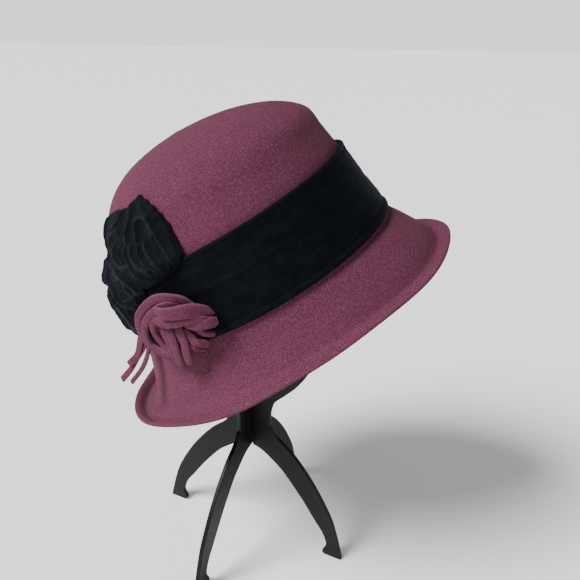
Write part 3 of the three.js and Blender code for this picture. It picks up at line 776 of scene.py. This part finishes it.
# Knot and strip ends: felt strips with rounded edges swept along curves on the hat
knot = {
    "turn": -106,
    "level": 0.014,
    "span": 0.06,
    "height": 0.048,
    "thickness": 0.0037,
    "step": 0.0033,  # how much further out a strip lies than the one it crosses
    "moundReach": (0.36, 0.38),
}
strands = [  # width, then over (in steps), across and up for each point
    (0.0062, [
        (0.7, 0.36, 0.24), (1.1, 0.31, 0.365), (1.6, 0.23, 0.445), (1.6, 0.16, 0.485), (1.4, 0.031, 0.505),
        (1.4, -0.144, 0.455), (1.4, -0.31, 0.36), (1.4, -0.41, 0.25), (1.4, -0.465, 0.13), (1.4, -0.475, 0),
        (1.3, -0.435, -0.12), (1.1, -0.35, -0.25), (1.3, -0.28, -0.36), (1.5, -0.2, -0.46),
    ]),
    (0.0052, [
        (1.1, 0.27, 0.31), (1.9, 0.19, 0.385), (2.2, 0.073, 0.4), (2.2, -0.073, 0.355), (2.2, -0.187, 0.29),
        (2.2, -0.28, 0.2), (2.2, -0.342, 0.08), (2.1, -0.36, -0.05), (1.8, -0.32, -0.16), (1.7, -0.24, -0.25),
        (1.7, -0.14, -0.32),
    ]),
    (0.0045, [
        (1.6, 0.075, 0.367), (2, -0.034, 0.32), (2.1, -0.125, 0.23), (2, -0.19, 0.13), (1.8, -0.21, 0.01),
        (1.7, -0.205, -0.11), (1.5, -0.18, -0.24), (1, -0.15, -0.36),
    ]),
    (0.009, [
        (1.5, -0.03, 0.36), (3, 0.07, 0.345), (3.6, 0.15, 0.325), (3.7, 0.235, 0.297), (3.4, 0.34, 0.258),
        (2.6, 0.41, 0.205), (1.6, 0.455, 0.13), (0.5, 0.475, 0.04),
    ]),
    (0.0052, [
        (1.2, -0.04, 0.36), (2.4, -0.04, 0.275), (3, 0.035, 0.195), (3.1, 0.18, 0.145), (2.8, 0.306, 0.115),
        (2.2, 0.4, 0.07), (1.2, 0.46, 0),
    ]),
    (0.0066, [
        (1.6, 0.2, 0.11), (2.2, 0.28, 0.05), (2.3, 0.36, -0.005), (1.8, 0.44, -0.03), (0.9, 0.5, -0.05),
    ]),
    (0.0046, [
        (1.2, -0.11, 0.12), (1.7, -0.1, 0), (1.7, -0.115, -0.12), (1.8, -0.155, -0.26), (1.8, -0.22, -0.42),
    ]),
    (0.0062, [
        (1.4, 0.0, 0.14), (2.1, -0.005, 0), (2.3, -0.03, -0.14), (2.5, -0.08, -0.32), (2.5, -0.13, -0.49),
    ]),
    (0.0062, [
        (1.2, 0.1, 0.12), (1.9, 0.1, -0.01), (2.1, 0.085, -0.15), (2.4, 0.04, -0.31), (2.5, -0.01, -0.47),
    ]),
    (0.0042, [(1.4, 0.24, 0.03), (1.4, 0.29, -0.06), (1.5, 0.335, -0.14), (0.7, 0.39, -0.2)]),
    (0.0056, [(1.3, 0.14, 0), (1.5, 0.17, -0.11), (1.8, 0.205, -0.21), (0.9, 0.27, -0.31)]),
    (0.0036, [(0.9, 0.1, -0.12), (1.5, 0.125, -0.27), (0.8, 0.16, -0.37)]),
]


def sweepStrip(points, facing, width, thickness, taper=0.0, around=32, steps=110):
    # the section is a rounded oblong: x = width/2 cos^0.75 a, y = thickness/2 sin^0.85 a, with signs kept
    path = smoothRows(points, steps)
    tangent = unit(np.gradient(path, axis=0))
    out = smoothRows(facing, steps)
    out = unit(out - tangent * (out * tangent).sum(1)[:, None])
    across = np.cross(out, tangent)
    angle = np.linspace(0, 2 * pi, around, endpoint=False)
    x = np.sign(np.cos(angle)) * np.abs(np.cos(angle)) ** 0.75 * width / 2
    y = np.sign(np.sin(angle)) * np.abs(np.sin(angle)) ** 0.85 * thickness / 2
    along = np.linspace(0, 1, steps)
    # the width wavers a little, and tapers near both ends
    ends = 1 - smoothStep(0, 0.14, np.minimum(along, 1 - along))
    waver = 1 + 0.05 * np.sin(9 * along + 900 * width) - taper * ends
    waver = waver[:, None, None]
    # the strip cups a little, so its edges stand up and catch the light
    cup = 0.06 * thickness * np.cos(2 * angle)[None, :, None]
    grid = path[:, None] + across[:, None] * x[None, :, None] * waver
    grid = grid + out[:, None] * (y[None, :, None] + cup)
    # painted highlight along both edges of the strip, on its outer side, where the light catches them
    painted_highlight = 0.3 * np.abs(np.cos(angle)) ** 6 * (np.sin(angle) > -0.3)
    return grid, np.broadcast_to(painted_highlight, grid.shape[:2])


knotTurn = radians(knot["turn"])
knotArc = arcAt(knotTurn, knot["level"])


def knotSpot(across, up, offset):
    # a point on the hat by shares of the knot's span and height, and metres off what lies under it
    level = knot["level"] + np.asarray(up) * knot["height"]
    return lifted(knotTurn + np.asarray(across) * knot["span"] / knotArc, level, bandTop(level) + offset)


def makeKnot():
    made = []
    for width, rows in strands:
        rows = np.array(rows)
        offset = (rows[:, 0] + 0.5) * knot["step"]
        spots = knotSpot(rows[:, 1], rows[:, 2], offset)
        facing = knotSpot(rows[:, 1], rows[:, 2], offset + 0.01) - spots
        made.append(sweepStrip(spots, facing, width, knot["thickness"], 0.3))
    # a low mound of wound felt fills the middle under the strips
    angle = np.linspace(0, 2 * pi, 40, endpoint=False)[None, :]
    share = np.concatenate([np.linspace(0.02, 0.8, 30), [0.9], np.linspace(0.88, 0.02, 59)])[:, None]
    offset = np.concatenate([np.zeros(30), [0.2], np.linspace(0.5, 1.1, 59)])[:, None] * knot["step"]
    across = knot["moundReach"][0] * share * np.cos(angle) - 0.02
    up = knot["moundReach"][1] * share * np.sin(angle) + 0.03
    made.append((knotSpot(across, up, offset), np.zeros(across.shape)))
    return made


knotParts = makeKnot()
grids, painted_highlights = [toFrame(grid) for grid, _ in knotParts], [painted_highlight for _, painted_highlight in knotParts]
makePiece("knot_felt", grids, feltMaterial, "felt_knot", painted_highlights=painted_highlights)

tailThickness = 0.0022
tails = {  # width of each strip, then across from the knot's middle, level and distance off the felt
    "felt_tail_wide": [
        (0.0058, [
            (-0.041, 0.0165, 0.0036), (-0.0475, 0.009, 0.0075), (-0.053, 0.0015, 0.0125),
            (-0.056, -0.0055, 0.019),
        ]),
        (0.0052, [
            (-0.0405, 0.015, 0.003), (-0.0465, 0.007, 0.006), (-0.0525, -0.001, 0.0115),
            (-0.0565, -0.0085, 0.018), (-0.0605, -0.0155, 0.0255),
        ]),
    ],
    "felt_tail_thin": [
        (0.004, [
            (-0.041, 0.009, 0.003), (-0.0455, -0.0005, 0.0075), (-0.05, -0.0095, 0.013),
            (-0.0545, -0.0185, 0.0215),
        ]),
    ],
}


def makeTail(width, rows):
    # a strip that starts on the felt and bends away from it
    rows = np.array(rows)
    turn = knotTurn + rows[:, 0] / knotArc
    spots = lifted(turn, rows[:, 1], rows[:, 2])
    facing = lifted(turn, rows[:, 1], rows[:, 2] + 0.01) - spots
    return sweepStrip(spots, facing, width, tailThickness)


for name, strips in tails.items():
    made = [makeTail(*strip) for strip in strips]
    grids, painted_highlights = [toFrame(grid) for grid, _ in made], [painted_highlight for _, painted_highlight in made]
    makePiece(name + "_strip", grids, feltMaterial, name, painted_highlights=painted_highlights)

# Stand: each plate is a filled outline with a rounded edge, slotted where the plates cross
stand = {
    "foot": 0.084,
    "sole": 0.0155,
    "arch": 0.0857,
    "neck": 0.0183,
    "neckLow": 0.1073,
    "neckHigh": 0.1186,
    "head": 0.067,
    "headLevel": 0.248,
    "top": 0.346,
    "rib": 0.016,
    "windowLow": 0.46,  # how far up from the neck to the widest level the window starts
    "thickness": 0.0034,
    "fit": 0.0003,
    "bevel": 0.0005,
    "turn": -13,
}
legRows = [  # reach and height, in shares of the foot's reach and the neck's lower end
    (1, 0), (0.997, 0.03), (0.956, 0.154), (0.93, 0.222), (0.869, 0.352), (0.73, 0.543), (0.59, 0.694),
    (0.446, 0.818), (0.3, 0.912),
]
armRows = [  # reach and height, in shares of the way from the neck to the widest place
    (0.03, 0.045), (0.09, 0.09), (0.29, 0.163), (0.47, 0.235), (0.64, 0.33), (0.78, 0.45), (0.9, 0.62),
    (0.975, 0.82),
]
archRows = [  # reach and height, in shares of the sole's inner end and the arch's top
    (0.16, 0.96), (0.32, 0.875), (0.46, 0.78), (0.69, 0.56), (0.88, 0.35), (0.98, 0.24), (1.03, 0.125),
    (0.985, 0.035),
]


def plateLines(fromBelow):
    # the outline and the window of a plate, slotted from below or from above for the other one
    toe = stand["foot"] - stand["sole"]
    half = stand["thickness"] / 2 + stand["fit"]
    arch = [(reach * toe, height * stand["arch"]) for reach, height in archRows]
    archLine = smoothRows([(0, stand["arch"])] + arch + [(toe * 1.01, 0)], 120)
    leg = [(reach * stand["foot"], height * stand["neckLow"]) for reach, height in legRows]
    neck = [(stand["neck"] + 0.003, stand["neckLow"] - 0.004), (stand["neck"], stand["neckLow"])]
    legLine = smoothRows(leg + neck, 120)
    spanX = stand["head"] - stand["neck"]
    spanZ = stand["headLevel"] - stand["neckHigh"]
    arm = [(stand["neck"] + reach * spanX, stand["neckHigh"] + height * spanZ) for reach, height in armRows]
    armLine = smoothRows([(stand["neck"], stand["neckHigh"])] + arm, 100)
    # the dome is a quarter ellipse on each side, and the window two half ones
    angle = np.linspace(0, pi / 2, 60)
    domeHeight = stand["top"] - stand["headLevel"]
    dome = np.stack([stand["head"] * np.cos(angle), stand["headLevel"] + domeHeight * np.sin(angle)], 1)
    windowTop = stand["top"] - stand["rib"]
    windowLow = stand["neckHigh"] + spanZ * stand["windowLow"]
    lapLow = (stand["arch"] + windowLow) / 2
    lapHigh = (windowTop + stand["top"]) / 2
    turn = np.linspace(-pi / 2, 1.5 * pi, 160, endpoint=False)
    rise = np.where(np.sin(turn) > 0, windowTop - stand["headLevel"], stand["headLevel"] - windowLow)
    windowReach = stand["head"] - stand["rib"]
    window = np.stack([windowReach * np.cos(turn), stand["headLevel"] + rise * np.sin(turn)], 1)
    if fromBelow:
        archLine = np.vstack([[(half, lapLow + stand["fit"] / 2)], archLine[archLine[:, 0] > half]])
        window = window[(np.abs(window[:, 0]) > half) | (window[:, 1] < stand["headLevel"])]
        spot = int(np.argmax((window[:, 0] < 0) & (window[:, 1] > stand["headLevel"])))
        notch = [(half, lapHigh + stand["fit"] / 2), (-half, lapHigh + stand["fit"] / 2)]
        window = np.insert(window, spot, notch, 0)
    else:
        dome = np.vstack([dome[dome[:, 0] > half], [(half, lapHigh - stand["fit"] / 2)]])
        window = window[(np.abs(window[:, 0]) > half) | (window[:, 1] > stand["headLevel"])]
        window = np.vstack([window, [(-half, lapLow - stand["fit"] / 2), (half, lapLow - stand["fit"] / 2)]])
    right = np.vstack([archLine, legLine, armLine, dome])
    left = right[::-1] * [-1, 1]
    return np.vstack([right, left[np.abs(left[:, 0]) > 1e-6]]), window


def makePlate(name, fromBelow, turn):
    # the outline is drawn flat, thickened with a bevel inside it, stood up and turned about the stand's axis
    data = bpy.data.curves.new(name + "_outline", "CURVE")
    data.dimensions = "2D"
    data.fill_mode = "BOTH"
    data.extrude = stand["thickness"] / 2 - stand["bevel"]
    data.bevel_depth = stand["bevel"]
    data.bevel_resolution = 2
    data.offset = -stand["bevel"]
    for line in plateLines(fromBelow):
        spline = data.splines.new("POLY")
        spline.points.add(len(line) - 1)
        flat = np.zeros((len(line), 4))
        flat[:, :2] = line
        flat[:, 3] = 1
        spline.points.foreach_set("co", flat.ravel())
        spline.use_cyclic_u = True
    outline = bpy.data.objects.new(name + "_outline", data)
    bpy.context.scene.collection.objects.link(outline)
    bpy.context.view_layer.update()
    mesh = bpy.data.meshes.new_from_object(outline.evaluated_get(bpy.context.evaluated_depsgraph_get()))
    bpy.data.objects.remove(outline)
    upright = Matrix.Rotation(radians(turn), 4, "Z") @ Matrix.Rotation(pi / 2, 4, "X")
    mesh.transform(Matrix.Translation(Vector(standAxis)) @ upright)
    mesh.polygons.foreach_set("use_smooth", np.ones(len(mesh.polygons), bool))
    mesh.set_sharp_from_angle(angle=radians(35))
    mesh.materials.clear()
    mesh.materials.append(plasticMaterial)
    item = bpy.data.objects.new(name + "_moulded", mesh)
    bpy.context.scene.collection.objects.link(item)
    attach(item, "root")
    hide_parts(name)
    print(name, "made with", len(mesh.polygons), "faces")


makePlate("stand_plate_a", True, stand["turn"])
makePlate("stand_plate_b", False, stand["turn"] + 90)
